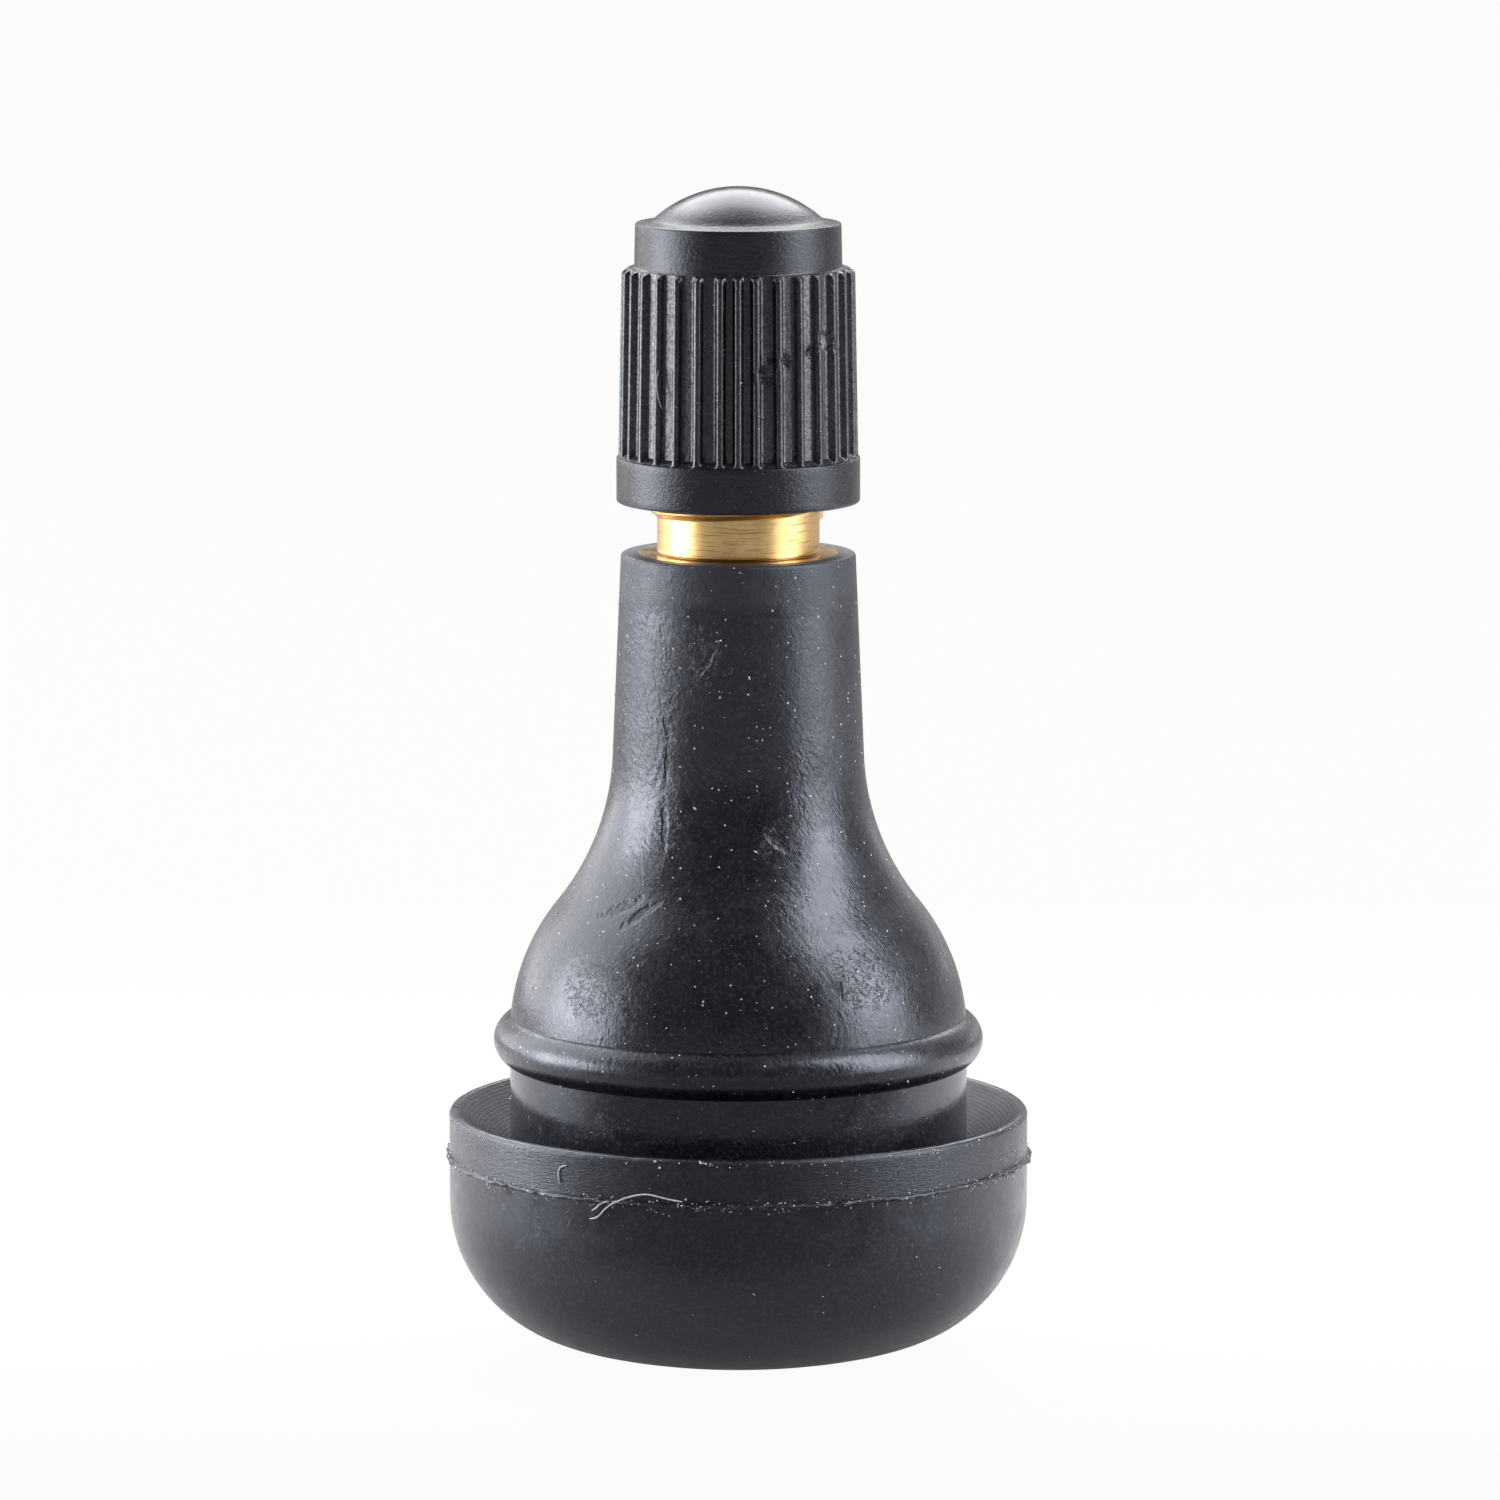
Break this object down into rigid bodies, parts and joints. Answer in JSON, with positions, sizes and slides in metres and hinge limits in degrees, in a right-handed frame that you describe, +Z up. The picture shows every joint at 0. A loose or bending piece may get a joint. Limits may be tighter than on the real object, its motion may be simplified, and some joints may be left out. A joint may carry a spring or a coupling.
{
  "type": "tyre valve",
  "caption": "Snap-in rubber tyre valve with a brass stem, a spring core inside and a ribbed screw-on dust cap; it seals in a wheel rim's hole and lets air into the tyre.",
  "frame": {"origin": "centre of the flat foot under the rubber base, on the valve's axis", "axes": "+Z up along the valve's axis, from the base towards the dust cap"},
  "size_m": [0.0234, 0.0234, 0.0463],
  "materials": {
    "body_rubber": "satin moulded, dusty",
    "stem_brass": "turned",
    "core_brass": "turned",
    "gasket_plastic": "smooth",
    "spring_steel": "drawn wire",
    "pin_steel": "turned",
    "seal_rubber": "smooth",
    "cap_plastic": "grained"
  },
  "bodies": {
    "valve": {"rubber_body": "body_rubber", "brass_stem": "stem_brass", "core_plug": "core_brass", "core_barrel": "core_brass", "core_gasket": "gasket_plastic", "core_spring": "spring_steel"},
    "pin": {"core_pin": "pin_steel", "core_cup": "core_brass", "core_cup_seal": "seal_rubber"},
    "washer": {"cap_seal": "seal_rubber"},
    "cap": {"dust_cap": "cap_plastic"}
  },
  "joints": [
    {"name": "pin_press", "type": "slide", "parent": "valve", "child": "pin", "axis": [0, 0, -1], "range_m": [0, 0.0015], "stiffness_N_per_m": 600, "deforming": ["core_spring"]},
    {"name": "cap_lift", "type": "slide", "parent": "valve", "child": "washer", "axis": [0, 0, 1], "range_m": [0, 0.00873]},
    {"name": "cap_turn", "type": "hinge", "parent": "washer", "child": "cap", "pos_m": [0, 0, 0.0425], "axis": [0, 0, 1], "range_deg": [0, 3960]}
  ],
  "couplings": [
    {"joint": "cap_turn", "follows": "cap_lift", "rad_per_m": 7915.8}
  ]
}
